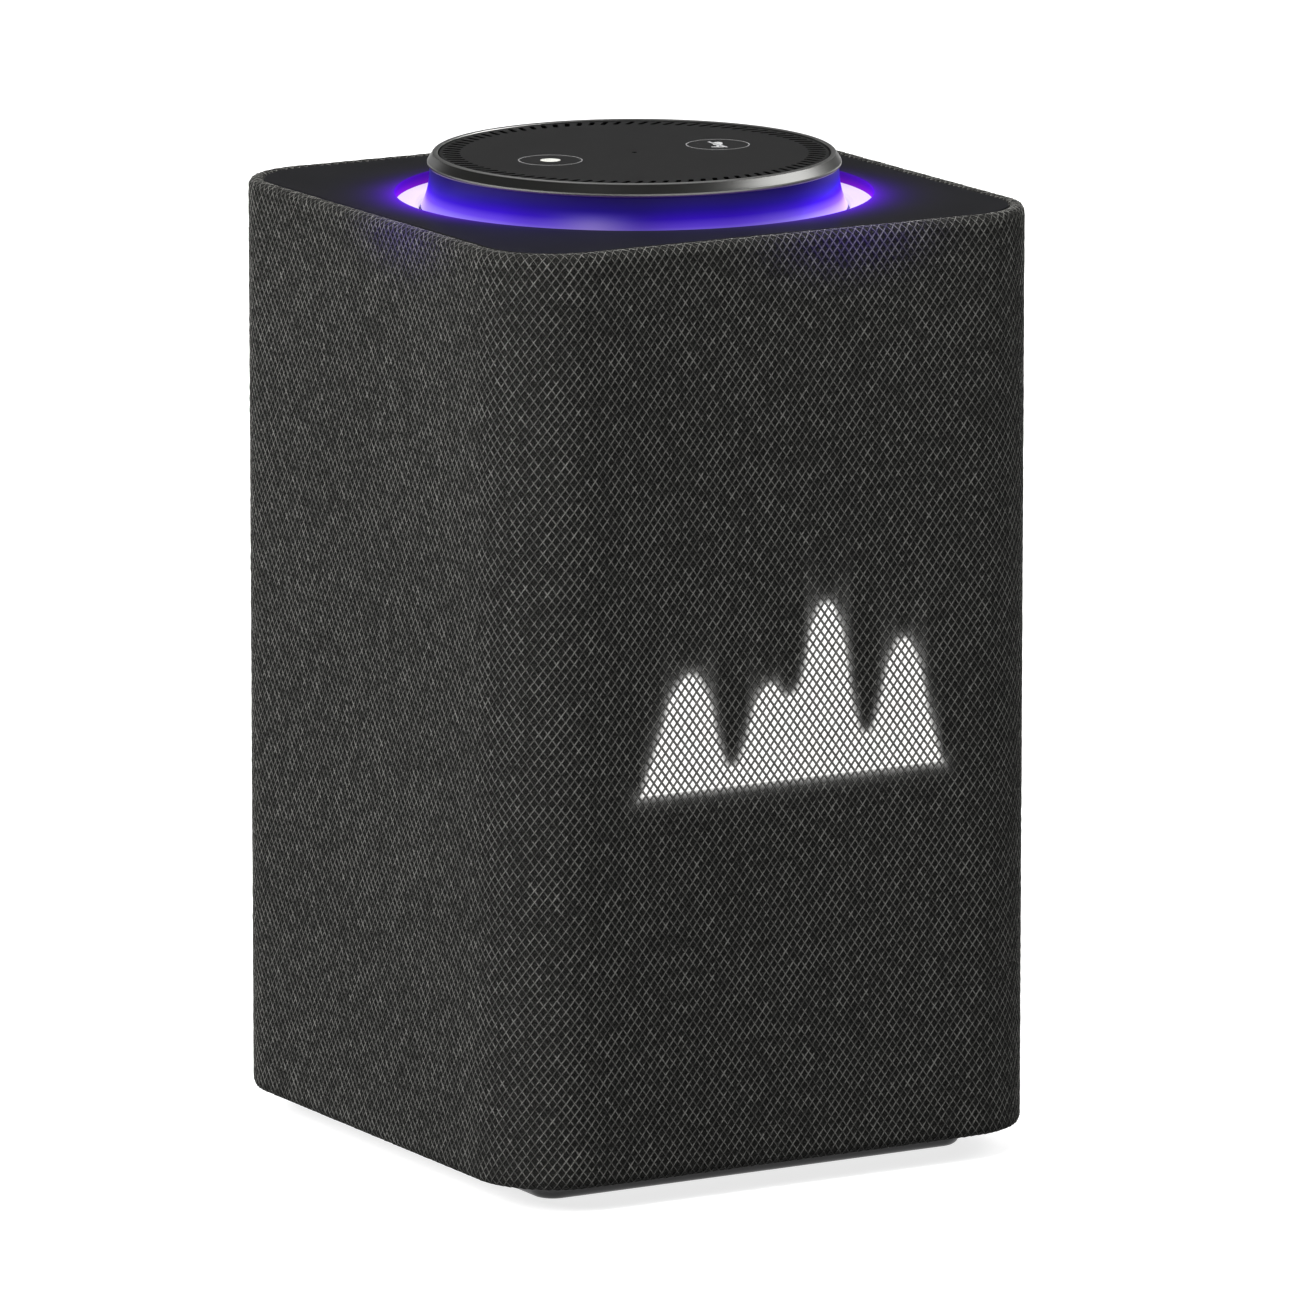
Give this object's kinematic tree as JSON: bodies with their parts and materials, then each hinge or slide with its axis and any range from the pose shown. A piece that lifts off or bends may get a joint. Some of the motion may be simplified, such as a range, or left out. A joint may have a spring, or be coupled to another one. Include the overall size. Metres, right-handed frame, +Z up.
{
  "type": "smart speaker",
  "caption": "Tall square fabric-wrapped smart speaker with a turning volume ring over a glowing groove, touch panel on top and a light display behind the front fabric.",
  "frame": {"origin": "middle of the underside of the foot pad", "axes": "+Z up, along the speaker's height; -Y is the front with the display; +X is to the right seen from the front"},
  "size_m": [0.141, 0.141, 0.2295],
  "materials": {
    "knit_mesh": "matte knitted mesh",
    "deck_plastic": "fine matte",
    "plinth_plastic": "satin",
    "inner_plastic": "moulded",
    "panel_plastic": "soft touch",
    "ring_metal": "dark anodised, machined",
    "skirt_plastic": "satin gloss",
    "diffuser": "milky, lit violet",
    "display_diffuser": "milky, lit white",
    "circuit_board": "solder mask",
    "led": "clear package",
    "chip_metal": "tinned",
    "gear_plastic": "acetal",
    "magnet_steel": "zinc plated",
    "basket_metal": "black",
    "cone_paper": "pulp cone",
    "coil_copper": "enamelled wire",
    "surround_rubber": "matte",
    "foot_rubber": "matte",
    "heat_sink_metal": "extruded",
    "screw_steel": "zinc plated"
  },
  "bodies": {
    "cabinet": {"foot_pad": "foot_rubber", "base_plinth": "plinth_plastic", "fabric_sleeve": "knit_mesh", "grille_frame": "inner_plastic", "base_cover": "inner_plastic", "top_deck": "deck_plastic", "top_chassis": "inner_plastic", "light_reflector": "gear_plastic", "led_ring_board": "circuit_board", "ring_leds": "led", "light_ring": "diffuser", "panel_pedestal": "inner_plastic", "glide_ring": "gear_plastic", "touch_board": "circuit_board", "microphones": "chip_metal", "touch_panel": "panel_plastic", "encoder_body": "inner_plastic", "enclosure_shell": "inner_plastic", "enclosure_baffle": "inner_plastic", "woofer_basket": "basket_metal", "woofer_magnet": "magnet_steel", "woofer_surround": "surround_rubber", "woofer_spider": "cone_paper", "midrange_frames": "basket_metal", "midrange_magnets": "magnet_steel", "midrange_chambers": "inner_plastic", "tweeter_bodies": "basket_metal", "radiator_frames": "basket_metal", "radiator_surrounds": "surround_rubber", "display_board": "circuit_board", "display_light_grid": "inner_plastic", "display_diffuser": "display_diffuser", "main_board": "circuit_board", "board_shield": "chip_metal", "antennas": "chip_metal", "amp_board": "circuit_board", "heat_sink": "heat_sink_metal", "port_board": "circuit_board", "rear_port_panel": "inner_plastic", "power_jack": "inner_plastic", "video_socket": "inner_plastic", "network_socket": "inner_plastic", "audio_jack": "inner_plastic", "base_screws": "screw_steel", "chassis_screws": "screw_steel", "driver_screws": "screw_steel"},
    "volume_knob": {"volume_ring": "ring_metal", "ring_skirt": "skirt_plastic", "ring_gear": "gear_plastic"},
    "encoder_rotor": {"encoder_pinion": "gear_plastic", "encoder_shaft": "screw_steel"},
    "woofer_diaphragm": {"woofer_cone": "cone_paper", "woofer_voice_coil": "coil_copper", "woofer_dust_cap": "cone_paper"},
    "left_midrange_diaphragm": {"left_midrange_cone": "cone_paper"},
    "right_midrange_diaphragm": {"right_midrange_cone": "cone_paper"},
    "left_tweeter_diaphragm": {"left_tweeter_dome": "cone_paper"},
    "right_tweeter_diaphragm": {"right_tweeter_dome": "cone_paper"},
    "left_radiator_diaphragm": {"left_radiator": "cone_paper"},
    "right_radiator_diaphragm": {"right_radiator": "cone_paper"}
  },
  "joints": [
    {"name": "volume_turn", "type": "hinge", "parent": "cabinet", "child": "volume_knob", "pos_m": [0, 0, 0.2275], "axis": [0, 0, 1], "continuous": true},
    {"name": "encoder_turn", "type": "hinge", "parent": "cabinet", "child": "encoder_rotor", "pos_m": [0.032, 0, 0.22], "axis": [0, 0, 1], "continuous": true},
    {"name": "woofer_stroke", "type": "slide", "parent": "cabinet", "child": "woofer_diaphragm", "axis": [0, -1, 0], "range_m": [-0.004, 0.004], "stiffness_N_per_m": 2500},
    {"name": "left_midrange_stroke", "type": "slide", "parent": "cabinet", "child": "left_midrange_diaphragm", "axis": [0, -1, 0], "range_m": [-0.001, 0.001], "stiffness_N_per_m": 2500},
    {"name": "right_midrange_stroke", "type": "slide", "parent": "cabinet", "child": "right_midrange_diaphragm", "axis": [0, -1, 0], "range_m": [-0.001, 0.001], "stiffness_N_per_m": 2500},
    {"name": "left_tweeter_stroke", "type": "slide", "parent": "cabinet", "child": "left_tweeter_diaphragm", "axis": [0, -1, 0], "range_m": [-0.0003, 0.0003], "stiffness_N_per_m": 4000},
    {"name": "right_tweeter_stroke", "type": "slide", "parent": "cabinet", "child": "right_tweeter_diaphragm", "axis": [0, -1, 0], "range_m": [-0.0003, 0.0003], "stiffness_N_per_m": 4000},
    {"name": "left_radiator_stroke", "type": "slide", "parent": "cabinet", "child": "left_radiator_diaphragm", "axis": [-1, 0, 0], "range_m": [-0.0045, 0.0045], "stiffness_N_per_m": 900},
    {"name": "right_radiator_stroke", "type": "slide", "parent": "cabinet", "child": "right_radiator_diaphragm", "axis": [1, 0, 0], "range_m": [-0.0045, 0.0045], "stiffness_N_per_m": 900}
  ],
  "couplings": [
    {"joint": "encoder_turn", "follows": "volume_turn", "ratio": 5}
  ]
}
